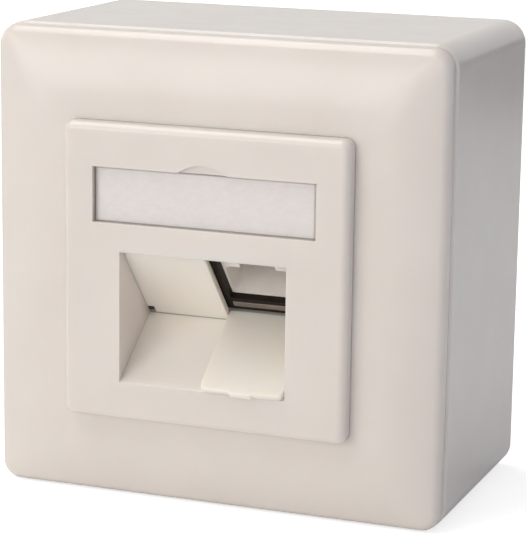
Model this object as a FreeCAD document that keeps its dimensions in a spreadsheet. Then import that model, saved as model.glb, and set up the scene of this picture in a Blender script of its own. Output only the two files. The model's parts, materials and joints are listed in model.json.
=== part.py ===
import FreeCAD, Part
import math
import os
import Sketcher

# Surface-mounted two-port network outlet. X runs to the right, Y into the wall, Z up.
# The origin is the middle of the back face. "Forward" counts from the wall towards the room.
# Driving dimensions in millimetres and degrees, one cell of the sheet each.
SIZES = {
    # surface box
    "outer_width": 80.0,
    "outer_height": 80.0,
    "corner_radius": 4.0,
    "hollow_corner": 3.1,
    "box_depth": 41.0,
    "box_wall": 2.2,
    "back_wall": 2.4,
    "rim_chamfer": 0.4,
    "seat_depth": 2.5,
    "seat_rib_width": 1.6,
    "seat_rib_reach": 2.0,
    "seat_rib_offset": 24.0,
    "post_inset": 7.8,
    "post_radius": 3.5,
    "post_web": 2.0,
    "pilot_length": 12.0,
    "wall_slot_spacing": 60.0,
    "wall_slot_width": 4.4,
    "wall_slot_length": 9.0,
    "entry_width": 24.0,
    "entry_height": 16.0,
    "entry_drop": 15.0,
    "entry_radius": 3.0,
    "knockout_width": 18.0,
    "knockout_length": 14.0,
    "knockout_margin": 4.0,
    "knockout_web": 0.9,
    # support ring and its screws
    "ring_depth": 4.0,
    "ring_thickness": 1.2,
    "ring_gap": 0.3,
    "ring_corner": 5.0,
    "ring_window_top": 11.2,
    "ring_window_drop": 13.5,
    "ring_slot_width": 3.6,
    "ring_slot_length": 7.0,
    "lug_length": 8.0,
    "lug_height": 8.6,
    "screw_radius": 1.4,
    "screw_clearance": 0.05,
    "through_clearance": 0.2,
    "screw_tip": 0.6,
    "head_radius": 3.0,
    "head_height": 2.0,
    "head_crown_ratio": 0.6,
    "head_side_ratio": 0.45,
    # crowned cover frame
    "joint_gap": 0.5,
    "rim_height": 2.55,
    "bevel_width": 5.6,
    "bevel_rise": 1.6,
    "crown_width": 5.4,
    "crown_rise": 0.8,
    "crown_corner": 2.0,
    "edge_round": 2.2,
    "frame_wall": 2.4,
    "frame_rim_width": 5.0,
    "skirt_wall": 1.5,
    "fit_gap": 0.3,
    "ledge_reach": 2.0,
    "window_wall": 2.0,
    # centre plate
    "plate_width": 50.0,
    "plate_height": 50.0,
    "plate_rise": 3.05,
    "plate_sink": 2.25,
    "plate_wall": 2.0,
    "plate_side": 1.8,
    "plate_corner": 1.5,
    "plate_gap": 0.12,
    "plate_edge_round": 1.3,
    "boss_radius": 3.0,
    "boss_gap": 0.3,
    "countersink": 1.3,
    "centre_screw_up": 14.8,
    # label place
    "label_width": 39.2,
    "label_height": 9.3,
    "label_up": 13.1,
    "label_depth": 1.3,
    "label_back": 1.0,
    "label_gap": 0.2,
    "card_thickness": 0.2,
    "label_window_thickness": 0.6,
    "notch_width": 8.6,
    "notch_rise": 1.45,
    "notch_depth": 0.7,
    # recess and hinge
    "recess_width": 29.4,
    "recess_top": 3.7,
    "recess_drop": 18.5,
    "chute_wall": 1.5,
    "chute_reach": 3.9,
    "hinge_depth": 12.6,
    "hinge_drop": 8.2,
    "port_tilt": 42.0,
    "pin_radius": 0.4,
    "pin_clearance": 0.05,
    # dust flaps
    "flap_thickness": 1.2,
    "flap_length": 16.6,
    "flap_gap": 0.2,
    "flap_corner": 1.2,
    "flap_edge_chamfer": 0.35,
    "flap_notch_width": 1.2,
    "flap_notch_height": 1.0,
    "rest_gap": 0.1,
    "barrel_radius": 0.8,
    "barrel_relief": 0.12,
    "tongue_width": 3.0,
    "tongue_reach": 0.5,
    # ports, bezel and shielded housing, measured along and across the port axis from the hinge
    "port_pitch": 14.6,
    "port_width": 11.9,
    "port_height": 7.0,
    "port_floor": 4.2,
    "port_round": 1.2,
    "latch_width": 6.3,
    "latch_height": 2.0,
    "latch_length": 8.0,
    "bezel_gap": 0.3,
    "bezel_depth": 1.2,
    "bezel_margin": 0.4,
    "bezel_foot": 3.0,
    "bezel_head": 2.4,
    "bezel_latch_gap": 1.0,
    "housing_width": 32.8,
    "housing_wall": 1.5,
    "block_length": 13.9,
    "block_bottom": 2.2,
    "block_top": 14.0,
    "tray_length": 13.0,
    "tray_bottom": -0.5,
    "tray_top": 16.0,
    "tray_floor": 1.5,
    "cable_notch_width": 8.0,
    "cable_notch_length": 7.0,
    "cover_thickness": 1.4,
    "cover_rim": 1.2,
    "cover_gap": 0.1,
    "lug_thickness": 1.2,
    "lug_gap": 0.15,
    "side_screw_depth": 12.0,
    "side_screw_up": 8.4,
    "side_screw_radius": 1.0,
    "side_screw_length": 2.5,
    "side_head_radius": 2.2,
    "side_head_height": 1.3,
    # contact carriers, contacts, board and wire terminals
    "board_thickness": 1.6,
    "board_gap": 0.3,
    "carrier_gap": 0.1,
    "comb_length": 6.0,
    "comb_height": 1.3,
    "carrier_back": 1.65,
    "contact_pitch": 1.02,
    "contact_width": 0.45,
    "contact_thickness": 0.3,
    "contact_rise": 2.6,
    "contact_gap": 0.05,
    "contact_slot": 0.6,
    "terminal_width": 13.0,
    "terminal_height": 12.0,
    "terminal_length": 7.9,
    "terminal_slot": 0.8,
    "terminal_slot_pitch": 2.9,
    "terminal_slot_depth": 5.0,
    "terminal_channel": 2.0,
}
QUARTER = math.pi / 2
CONTACTS = 8
TERMINAL_SLOTS = 4
EDGE_STEPS = 5
CROWN_STEPS = 4
SIDES = (("left", -1), ("right", 1))

doc = FreeCAD.newDocument("network_outlet")
sheet = doc.addObject("Spreadsheet::Sheet", "size")
for row, (alias, number) in enumerate(SIZES.items(), start=1):
    sheet.set(f"A{row}", alias)
    sheet.set(f"B{row}", str(number))
    sheet.setAlias(f"B{row}", alias)
doc.recompute()

# Places that several pieces share, as expressions on the sheet.
BOX_INNER_WIDTH = "(size.outer_width - 2 * size.box_wall)"
BOX_INNER_HEIGHT = "(size.outer_height - 2 * size.box_wall)"
SEAT = "(size.box_depth - size.seat_depth)"
POST_X = f"({BOX_INNER_WIDTH} / 2 - size.post_inset)"
RING_BACK = "(size.box_depth - size.ring_depth)"
RING_FRONT = f"({RING_BACK} + size.ring_thickness)"
RING_WIDTH = f"({BOX_INNER_WIDTH} - 2 * size.seat_rib_reach - 2 * size.ring_gap)"
RING_HEIGHT = f"({BOX_INNER_HEIGHT} - 2 * size.seat_rib_reach - 2 * size.ring_gap)"
FRAME_BACK = "(size.box_depth + size.joint_gap)"
FRAME_EDGE = f"({FRAME_BACK} + size.rim_height)"
BEVEL_END = f"({FRAME_EDGE} + size.bevel_rise)"
FRAME_FLAT = f"({BEVEL_END} + size.crown_rise)"
LEDGE = f"({FRAME_FLAT} - size.plate_sink)"
FACE = f"({FRAME_FLAT} + size.plate_rise)"
PLATE_INNER = f"({FACE} - size.plate_wall)"
LABEL_FLOOR = f"({FACE} - size.label_depth)"
WINDOW_WIDTH = "(size.plate_width + 2 * size.plate_gap)"
WINDOW_HEIGHT = "(size.plate_height + 2 * size.plate_gap)"
HINGE_FORWARD = f"({FACE} - size.hinge_depth)"
HALF_FLAP = "(size.flap_thickness / 2)"
SLOPE_RISE = "(size.recess_drop - size.hinge_drop)"
# Slope of the recess floor: it passes under the hinge by half a flap and its resting gap.
FLOOR_ANGLE = (
    f"(atan({SLOPE_RISE} / size.hinge_depth) - asin(({HALF_FLAP} + size.rest_gap)"
    f" / sqrt(size.hinge_depth ^ 2 + {SLOPE_RISE} ^ 2)))"
)
BEZEL_FRONT = f"({HALF_FLAP} + size.bezel_gap)"
BLOCK_FRONT = f"({BEZEL_FRONT} + size.bezel_depth)"
BLOCK_BACK = f"({BLOCK_FRONT} + size.block_length)"
TRAY_BACK = f"({BLOCK_BACK} + size.tray_length)"
TRAY_FLOOR = f"({BLOCK_BACK} + size.tray_floor)"
BOARD_BACK = f"({TRAY_FLOOR} + size.board_thickness)"
TRAY_MIDDLE = "((size.tray_bottom + size.tray_top) / 2)"
CAVITY_WIDTH = "(size.housing_width - 2 * size.housing_wall)"
PORT_MIDDLE = "(size.port_floor + size.port_height / 2)"
SIDE_SCREW_Y = (
    f"(-{HINGE_FORWARD} + size.side_screw_depth * cos(size.port_tilt)"
    " - size.side_screw_up * sin(size.port_tilt))"
)
SIDE_SCREW_Z = (
    "(-size.hinge_drop + size.side_screw_depth * sin(size.port_tilt)"
    " + size.side_screw_up * cos(size.port_tilt))"
)

sub_parts = []
cuts = []


def value(expression):
    """Number that an expression on the sheet gives."""
    result = sheet.evalExpression(expression)
    return float(getattr(result, "Value", result))


def new_body(label):
    """Empty body of one sub-part, named for its piece."""
    body = doc.addObject("PartDesign::Body", label)
    body.Label = label
    sub_parts.append(body)
    return body


def origin_feature(body, role):
    """Origin plane or axis of a body."""
    return next(item for item in body.Origin.OriginFeatures if item.Role == role)


def lean_on_ports(body, angle):
    """Puts a body's own origin on the hinge axis and turns it about that axis."""
    body.Placement = FreeCAD.Placement(FreeCAD.Vector(0, 0, 0), FreeCAD.Rotation(FreeCAD.Vector(1, 0, 0), 1))
    body.setExpression("Placement.Base.y", f"-{HINGE_FORWARD}")
    body.setExpression("Placement.Base.z", "-size.hinge_drop")
    body.setExpression("Placement.Rotation.Angle", angle)


def sketch_on(body, name, role, out="0", right="0", up="0", turn=None):
    """Sketch on an origin plane, moved out of the plane and within it, and turned in it if asked."""
    sketch = body.newObject("Sketcher::SketchObject", name)
    sketch.AttachmentSupport = (origin_feature(body, role), [""])
    sketch.MapMode = "FlatFace"
    for axis, expression in (("x", right), ("y", up), ("z", out)):
        sketch.setExpression(f"AttachmentOffset.Base.{axis}", expression)
    if turn:
        turned = FreeCAD.Rotation(FreeCAD.Vector(0, 0, 1), 1)
        sketch.AttachmentOffset = FreeCAD.Placement(FreeCAD.Vector(0, 0, 0), turned)
        sketch.setExpression("AttachmentOffset.Rotation.Angle", turn)
    return sketch


def bind(sketch, kind, *geometry, to):
    """Dimension of a sketch, bound to an expression on the sheet."""
    index = sketch.addConstraint(Sketcher.Constraint(kind, *geometry, value(to)))
    sketch.setExpression(f"Constraints[{index}]", to)


def pin_point(sketch, geometry, position, x, y):
    """Fixes one point of a sketch at a place given from the sketch's origin."""
    bind(sketch, "DistanceX", -1, 1, geometry, position, to=x)
    bind(sketch, "DistanceY", -1, 1, geometry, position, to=y)


def outline(sketch, points):
    """Closed outline of straight lines through points given as expressions."""
    first = sketch.GeometryCount
    count = len(points)
    places = [FreeCAD.Vector(value(x), value(y), 0) for x, y in points]
    for i in range(count):
        sketch.addGeometry(Part.LineSegment(places[i], places[(i + 1) % count]), False)
    for i in range(count):
        sketch.addConstraint(Sketcher.Constraint("Coincident", first + i, 2, first + (i + 1) % count, 1))
    for i, (x, y) in enumerate(points):
        pin_point(sketch, first + i, 1, x, y)
    return sketch


def rectangle(sketch, left, right, bottom, top):
    """Closed upright rectangle between four expressions."""
    return outline(sketch, [(left, bottom), (right, bottom), (right, top), (left, top)])


def circle(sketch, radius, x="0", y="0"):
    """Circle of a sketch."""
    centre = FreeCAD.Vector(value(x), value(y), 0)
    index = sketch.addGeometry(Part.Circle(centre, FreeCAD.Vector(0, 0, 1), value(radius)), False)
    bind(sketch, "Radius", index, to=radius)
    pin_point(sketch, index, 3, x, y)
    return sketch


def arc(centre, radius, start, end):
    """Arc of a circle between two angles in radians."""
    whole = Part.Circle(centre, FreeCAD.Vector(0, 0, 1), radius)
    return Part.ArcOfCircle(whole, start, end)


def rounded_rectangle(sketch, width, height, radius, x="0", y="0"):
    """Rectangle about a middle point, with four equal round corners."""
    first = sketch.GeometryCount
    half_w, half_h, r = value(width) / 2, value(height) / 2, value(radius)
    middle = FreeCAD.Vector(value(x), value(y), 0)
    corners = [(1, -1), (1, 1), (-1, 1), (-1, -1)]
    for i, (sx, sy) in enumerate(corners):
        last = corners[i - 1]
        start = FreeCAD.Vector(last[0] * half_w, last[1] * half_h, 0)
        end = FreeCAD.Vector(sx * half_w, sy * half_h, 0)
        along = (end - start).normalize() * r
        sketch.addGeometry(Part.LineSegment(middle + start + along, middle + end - along), False)
        centre = middle + FreeCAD.Vector(sx * (half_w - r), sy * (half_h - r), 0)
        sketch.addGeometry(arc(centre, r, (i - 1) * QUARTER, i * QUARTER), False)
    for i in range(8):
        sketch.addConstraint(Sketcher.Constraint("Tangent", first + i, 2, first + (i + 1) % 8, 1))
    for i in (0, 4):
        sketch.addConstraint(Sketcher.Constraint("Horizontal", first + i))
        sketch.addConstraint(Sketcher.Constraint("Vertical", first + i + 2))
    for i in (3, 5, 7):
        sketch.addConstraint(Sketcher.Constraint("Equal", first + 1, first + i))
    bind(sketch, "Radius", first + 1, to=radius)
    bind(sketch, "DistanceX", first + 6, 1, first + 2, 1, to=width)
    bind(sketch, "DistanceY", first, 1, first + 4, 1, to=height)
    bind(sketch, "DistanceX", -1, 1, first + 2, 1, to=f"{x} + {width} / 2")
    bind(sketch, "DistanceY", -1, 1, first + 4, 1, to=f"{y} + {height} / 2")
    return sketch


def slot(sketch, width, length, x, y):
    """Upright slot with round ends about a middle point."""
    first = sketch.GeometryCount
    half = f"({length} - {width}) / 2"
    ends = [(x, f"{y} + {half}"), (x, f"{y} - {half}")]
    r = value(width) / 2
    upper, lower = [FreeCAD.Vector(value(px), value(py), 0) for px, py in ends]
    side = FreeCAD.Vector(r, 0, 0)
    sketch.addGeometry(arc(upper, r, 0, 2 * QUARTER), False)
    sketch.addGeometry(Part.LineSegment(upper - side, lower - side), False)
    sketch.addGeometry(arc(lower, r, 2 * QUARTER, 4 * QUARTER), False)
    sketch.addGeometry(Part.LineSegment(lower + side, upper + side), False)
    for i in range(4):
        sketch.addConstraint(Sketcher.Constraint("Tangent", first + i, 2, first + (i + 1) % 4, 1))
    bind(sketch, "Radius", first, to=f"{width} / 2")
    pin_point(sketch, first, 3, *ends[0])
    pin_point(sketch, first + 2, 3, *ends[1])
    return sketch


def pad(body, sketch, length, symmetric=False, reverse=False):
    """Adds a sketch's outline to a body, along the sketch's normal."""
    feature = body.newObject("PartDesign::Pad", sketch.Name + "_pad")
    feature.Profile = sketch
    feature.setExpression("Length", length)
    feature.SideType = "Symmetric" if symmetric else "One side"
    feature.Reversed = reverse
    return feature


def pocket(body, sketch, length=None, symmetric=False, reverse=False):
    """Cuts a sketch's outline from a body against the normal, right through if no length is given."""
    feature = body.newObject("PartDesign::Pocket", sketch.Name + "_cut")
    feature.Profile = sketch
    feature.SideType = "Symmetric" if symmetric else "One side"
    feature.Reversed = reverse
    if length:
        feature.setExpression("Length", length)
    else:
        feature.Type = "ThroughAll"
    cuts.append(feature)
    return feature


def rounded_sections(body, name, sections):
    """Outlines of the box's width and height, each with its own inset, forward place and corner radius."""
    return [
        rounded_rectangle(
            sketch_on(body, f"{name}_{level}", "XZ_Plane", out=place),
            f"(size.outer_width - 2 * {inset})", f"(size.outer_height - 2 * {inset})", radius,
        )
        for level, inset, place, radius in sections
    ]


def loft(body, name, sections):
    """Adds the ruled solid through a row of like outlines."""
    feature = body.newObject("PartDesign::AdditiveLoft", name)
    feature.Profile = sections[0]
    feature.Sections = sections[1:]
    feature.Ruled = True
    return feature


def revolve(body, sketch, axis):
    """Turned solid of a sketch about its own horizontal or vertical axis."""
    feature = body.newObject("PartDesign::Revolution", sketch.Name + "_turned")
    feature.Profile = sketch
    feature.ReferenceAxis = (sketch, [axis])
    return feature


def mirror(body, feature):
    """Second copy of a feature on the other side of the middle plane."""
    doc.recompute()
    copy = body.newObject("PartDesign::Mirrored", feature.Name + "_pair")
    copy.Originals = [feature]
    copy.MirrorPlane = (origin_feature(body, "YZ_Plane"), [""])
    body.Tip = copy
    return copy


def repeat(body, feature, count, pitch):
    """Row of copies of a feature along X."""
    doc.recompute()
    row_of = body.newObject("PartDesign::LinearPattern", feature.Name + "_row")
    row_of.Originals = [feature]
    row_of.Direction = (origin_feature(body, "X_Axis"), [""])
    row_of.Occurrences = count
    row_of.setExpression("Length", f"{pitch} * {count - 1}")
    body.Tip = row_of
    return row_of


def round_edges(body, feature, radius, wanted, kind="Fillet"):
    """Rounds or chamfers those edges of a feature that the test picks out."""
    doc.recompute()
    names = [f"Edge{i}" for i, edge in enumerate(feature.Shape.Edges, start=1) if wanted(edge)]
    dressed = body.newObject("PartDesign::" + kind, feature.Name + "_" + kind.lower())
    dressed.Base = (feature, names)
    dressed.setExpression("Size" if kind == "Chamfer" else "Radius", radius)
    return dressed


def near(a, b):
    """Whether two lengths are the same."""
    return abs(a - b) < 1e-4


def runs_along_y(edge):
    """Whether an edge is a straight line along Y."""
    return len(edge.Vertexes) == 2 and near(edge.Length, edge.BoundBox.YLength)


def lies_at(edge, y):
    """Whether an edge lies in the plane across Y at a given place."""
    return near(edge.BoundBox.YMin, y) and near(edge.BoundBox.YMax, y)


def recess_floor(forward):
    """Height of the sloping floor of the recess at a given place."""
    return f"(-size.recess_drop + ({FACE} - {forward}) * tan({FLOOR_ANGLE}))"


# Surface box: moulded shell with posts, seat ribs, wall slots, cable entry and thin knock-outs.
box = new_body("surface_box")
shell = rounded_rectangle(
    sketch_on(box, "box_outline", "XZ_Plane"), "size.outer_width", "size.outer_height", "size.corner_radius"
)
shell_pad = pad(box, shell, "size.box_depth")
round_edges(
    box, shell_pad, "size.rim_chamfer", lambda edge: lies_at(edge, -value("size.box_depth")), kind="Chamfer"
)
hollow = rounded_rectangle(
    sketch_on(box, "box_hollow", "XZ_Plane", out="size.box_depth"),
    BOX_INNER_WIDTH, BOX_INNER_HEIGHT, "size.hollow_corner",
)
pocket(box, hollow, "size.box_depth - size.back_wall")
posts = sketch_on(box, "posts", "XZ_Plane", out="size.back_wall")
for side in (-1, 1):
    circle(posts, "size.post_radius", f"{side} * {POST_X}")
pad(box, posts, f"{RING_BACK} - size.back_wall")
webs = sketch_on(box, "post_webs", "XZ_Plane", out="size.back_wall")
for side in (-1, 1):
    rectangle(
        webs, f"{side} * {POST_X}", f"{side} * (size.outer_width - size.box_wall) / 2",
        "-size.post_web / 2", "size.post_web / 2",
    )
pad(box, webs, f"{RING_BACK} - size.back_wall")
pilots = sketch_on(box, "pilots", "XZ_Plane", out=RING_BACK)
for side in (-1, 1):
    circle(pilots, "size.screw_radius + size.screw_clearance", f"{side} * {POST_X}")
pocket(box, pilots, "size.pilot_length")
ribs = sketch_on(box, "seat_ribs", "XZ_Plane", out="size.back_wall / 2")
for side in (-1, 1):
    for place in (-1, 1):
        low = f"{place} * size.seat_rib_offset - size.seat_rib_width / 2"
        high = f"{place} * size.seat_rib_offset + size.seat_rib_width / 2"
        rectangle(
            ribs, f"{side} * ({BOX_INNER_WIDTH} / 2 - size.seat_rib_reach)",
            f"{side} * (size.outer_width - size.box_wall) / 2", low, high,
        )
        rectangle(
            ribs, low, high, f"{side} * ({BOX_INNER_HEIGHT} / 2 - size.seat_rib_reach)",
            f"{side} * (size.outer_height - size.box_wall) / 2",
        )
pad(box, ribs, f"{SEAT} - size.back_wall / 2")
wall_slots = sketch_on(box, "wall_slots", "XZ_Plane", out="size.back_wall")
for place in (-1, 1):
    slot_up = f"{place} * size.wall_slot_spacing / 2"
    slot(wall_slots, "size.wall_slot_width", "size.wall_slot_length", "0", slot_up)
pocket(box, wall_slots)
entry = rounded_rectangle(
    sketch_on(box, "cable_entry", "XZ_Plane", out="size.back_wall"),
    "size.entry_width", "size.entry_height", "size.entry_radius", y="-size.entry_drop",
)
pocket(box, entry)
KNOCKOUT_BACK = "(size.back_wall + size.knockout_margin)"
for place, wall in ((-1, "bottom"), (1, "top")):
    knockout = rectangle(
        sketch_on(box, wall + "_knockout", "XY_Plane", out=f"{place} * {BOX_INNER_HEIGHT} / 2"),
        "-size.knockout_width / 2", "size.knockout_width / 2",
        f"-({KNOCKOUT_BACK} + size.knockout_length)", f"-{KNOCKOUT_BACK}",
    )
    pocket(box, knockout, "size.box_wall - size.knockout_web", reverse=place > 0)

# Support ring: stamped steel sheet on the posts, with two lugs bent back beside the housing.
ring = new_body("support_ring")
sheet_outline = rounded_rectangle(
    sketch_on(ring, "ring_outline", "XZ_Plane", out=RING_BACK),
    RING_WIDTH, RING_HEIGHT, "size.ring_corner",
)
pad(ring, sheet_outline, "size.ring_thickness")
LUG_INNER = "(size.housing_width / 2 + size.lug_gap)"
ring_window = rectangle(
    sketch_on(ring, "ring_window", "XZ_Plane", out=RING_FRONT),
    f"-{LUG_INNER}", LUG_INNER, "-size.ring_window_drop", "size.ring_window_top",
)
pocket(ring, ring_window)
ring_slots = sketch_on(ring, "ring_slots", "XZ_Plane", out=RING_FRONT)
for side in (-1, 1):
    slot(ring_slots, "size.ring_slot_width", "size.ring_slot_length", f"{side} * {POST_X}", "0")
pocket(ring, ring_slots)
thread_hole = circle(
    sketch_on(ring, "centre_thread", "XZ_Plane", out=RING_FRONT),
    "size.screw_radius + size.screw_clearance", "0", "size.centre_screw_up",
)
pocket(ring, thread_hole)
lugs = sketch_on(ring, "lugs", "XZ_Plane", out=RING_FRONT)
for side in (-1, 1):
    rectangle(
        lugs, f"{side} * {LUG_INNER}", f"{side} * ({LUG_INNER} + size.lug_thickness)",
        "size.ring_window_top - size.lug_height", "size.ring_window_top",
    )
pad(ring, lugs, "size.ring_thickness + size.lug_length", reverse=True)
lug_holes = circle(
    sketch_on(ring, "lug_holes", "YZ_Plane"),
    "size.side_screw_radius + size.screw_clearance", SIDE_SCREW_Y, SIDE_SCREW_Z,
)
pocket(ring, lug_holes, RING_WIDTH, symmetric=True)

# Pan-head screws that hold the ring on the posts.
ring_screws = new_body("ring_screws")
ring_screw = outline(
    sketch_on(ring_screws, "ring_screw", "XY_Plane", right=POST_X),
    [
        ("0", f"-({RING_FRONT} + size.head_height)"),
        ("size.head_radius * size.head_crown_ratio", f"-({RING_FRONT} + size.head_height)"),
        ("size.head_radius", f"-({RING_FRONT} + size.head_height * size.head_side_ratio)"),
        ("size.head_radius", f"-{RING_FRONT}"),
        ("size.screw_radius", f"-{RING_FRONT}"),
        ("size.screw_radius", f"-({RING_BACK} - size.pilot_length + size.screw_tip)"),
        ("0", f"-({RING_BACK} - size.pilot_length + size.screw_tip)"),
    ],
)
mirror(ring_screws, revolve(ring_screws, ring_screw, "V_Axis"))

# Shielded housing: die-cast block with two port tubes and a tray for the board behind them.
housing = new_body("jack_housing")
lean_on_ports(housing, "size.port_tilt")
block = rectangle(
    sketch_on(housing, "block", "XZ_Plane", out=f"-{BLOCK_BACK}"),
    "-size.housing_width / 2", "size.housing_width / 2", "size.block_bottom", "size.block_top",
)
pad(housing, block, "size.block_length")
tray = rectangle(
    sketch_on(housing, "tray", "XZ_Plane", out=f"-{TRAY_BACK}"),
    "-size.housing_width / 2", "size.housing_width / 2", "size.tray_bottom", "size.tray_top",
)
pad(housing, tray, "size.tray_length")
tray_cavity = rectangle(
    sketch_on(housing, "tray_cavity", "XZ_Plane", out=f"-{TRAY_BACK}"),
    f"-{CAVITY_WIDTH} / 2", f"{CAVITY_WIDTH} / 2",
    "size.tray_bottom + size.housing_wall", "size.tray_top - size.housing_wall",
)
pocket(housing, tray_cavity, f"{TRAY_BACK} - {TRAY_FLOOR}", reverse=True)
tubes = sketch_on(housing, "port_tubes", "XZ_Plane", out=f"-{BLOCK_FRONT}")
for name, side in SIDES:
    rounded_rectangle(
        tubes, "size.port_width", "size.port_height", "size.port_round",
        f"{side} * size.port_pitch / 2", PORT_MIDDLE,
    )
pocket(housing, tubes, f"{TRAY_FLOOR} - {BLOCK_FRONT}")
latches = sketch_on(housing, "latch_notches", "XZ_Plane", out=f"-{BLOCK_FRONT}")
for name, side in SIDES:
    rectangle(
        latches, f"{side} * size.port_pitch / 2 - size.latch_width / 2",
        f"{side} * size.port_pitch / 2 + size.latch_width / 2",
        PORT_MIDDLE, "size.port_floor + size.port_height + size.latch_height",
    )
pocket(housing, latches, "size.latch_length")
cable_notches = sketch_on(housing, "cable_notches", "XY_Plane", out="size.tray_bottom")
for name, side in SIDES:
    rectangle(
        cable_notches, f"{side} * size.port_pitch / 2 - size.cable_notch_width / 2",
        f"{side} * size.port_pitch / 2 + size.cable_notch_width / 2",
        f"{TRAY_BACK} - size.cable_notch_length", TRAY_BACK,
    )
pocket(housing, cable_notches, "size.housing_wall", reverse=True)
for name, side in SIDES:
    hole = circle(
        sketch_on(housing, name + "_screw_hole", "YZ_Plane", out=f"{side} * size.housing_width / 2"),
        "size.side_screw_radius + size.screw_clearance", "size.side_screw_depth", "size.side_screw_up",
    )
    pocket(housing, hole, "size.side_screw_length", reverse=side < 0)

# Side screws through the ring's lugs into the housing.
side_screws = new_body("housing_screws")
side_screws.setExpression("Placement.Base.y", SIDE_SCREW_Y)
side_screws.setExpression("Placement.Base.z", SIDE_SCREW_Z)
LUG_OUTER = f"({LUG_INNER} + size.lug_thickness)"
SIDE_SCREW_END = "(size.housing_width / 2 - size.side_screw_length + size.screw_clearance)"
side_screw = outline(
    sketch_on(side_screws, "side_screw", "XY_Plane"),
    [
        (SIDE_SCREW_END, "0"),
        (f"{LUG_OUTER} + size.side_head_height", "0"),
        (f"{LUG_OUTER} + size.side_head_height", "size.side_head_radius * size.head_crown_ratio"),
        (f"{LUG_OUTER} + size.side_head_height * size.head_side_ratio", "size.side_head_radius"),
        (LUG_OUTER, "size.side_head_radius"),
        (LUG_OUTER, "size.side_screw_radius"),
        (SIDE_SCREW_END, "size.side_screw_radius"),
    ],
)
mirror(side_screws, revolve(side_screws, side_screw, "H_Axis"))

# Board behind the ports, on the floor of the tray.
board = new_body("circuit_board")
lean_on_ports(board, "size.port_tilt")
board_outline = rectangle(
    sketch_on(board, "board_outline", "XZ_Plane", out=f"-{BOARD_BACK}"),
    f"-({CAVITY_WIDTH} / 2 - size.board_gap)", f"{CAVITY_WIDTH} / 2 - size.board_gap",
    "size.tray_bottom + size.housing_wall + size.board_gap",
    "size.tray_top - size.housing_wall - size.board_gap",
)
pad(board, board_outline, "size.board_thickness")

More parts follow.
